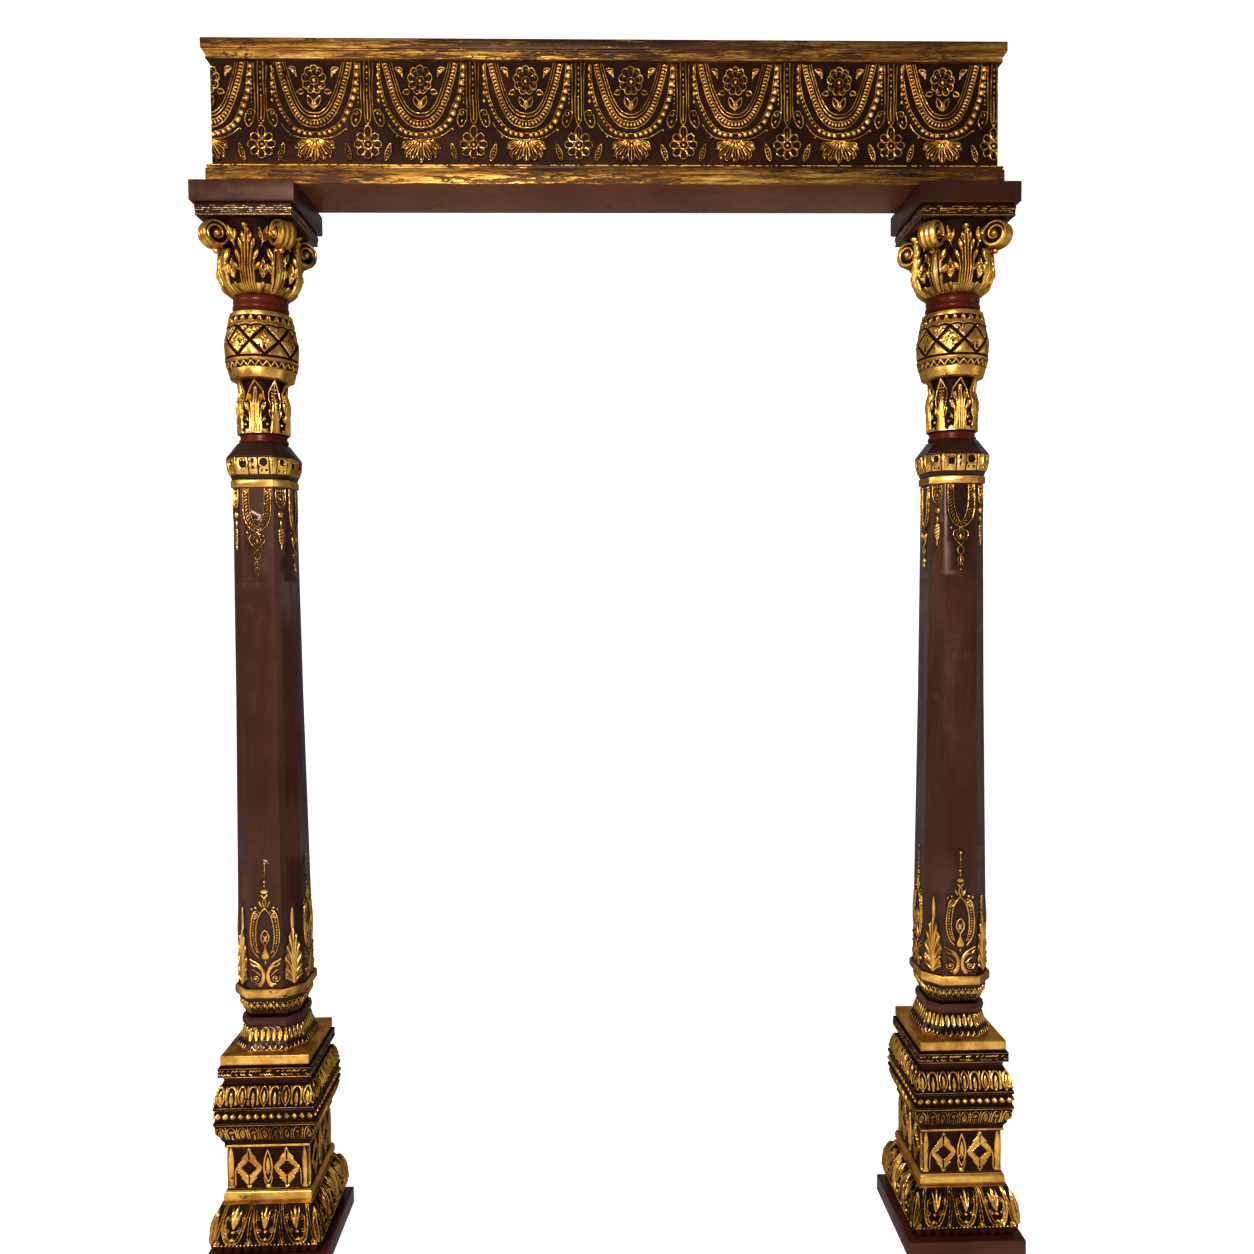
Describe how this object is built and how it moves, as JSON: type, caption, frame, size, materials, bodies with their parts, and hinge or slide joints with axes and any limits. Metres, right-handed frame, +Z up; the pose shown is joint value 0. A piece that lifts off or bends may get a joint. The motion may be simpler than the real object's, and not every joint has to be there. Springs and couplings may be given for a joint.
{
  "type": "carved wooden entrance arch",
  "caption": "Carved wooden entrance arch: columns on carved pedestals with leaf capitals carry a lintel with a swag frieze, in red-brown lacquer and antique gold.",
  "frame": {"origin": "on the floor, midway between the columns and midway through their depth", "axes": "+Z up, +X to the right seen from the front, front of the arch towards -Y"},
  "size_m": [1.7992, 0.26, 2.65],
  "materials": {
    "lacquer": "glossy dark red-brown lacquer",
    "gilding": "antique gold leaf, rubbed through to the dark wood",
    "gilded_carving": "carved wood, gold on the ridges and dark brown in the recesses"
  },
  "bodies": {
    "root": {"left_plinth": "lacquer", "left_pedestal": "gilded_carving", "left_pedestal_cap": "gilding", "left_shaft": "lacquer", "left_neck": "gilded_carving", "left_capital": "gilded_carving", "left_abacus": "lacquer", "right_plinth": "lacquer", "right_pedestal": "gilded_carving", "right_pedestal_cap": "gilding", "right_shaft": "lacquer", "right_neck": "gilded_carving", "right_capital": "gilded_carving", "right_abacus": "lacquer", "lintel_bottom_board": "gilding", "lintel_frieze_beam": "gilded_carving", "lintel_top_board": "gilding"}
  },
  "joints": []
}
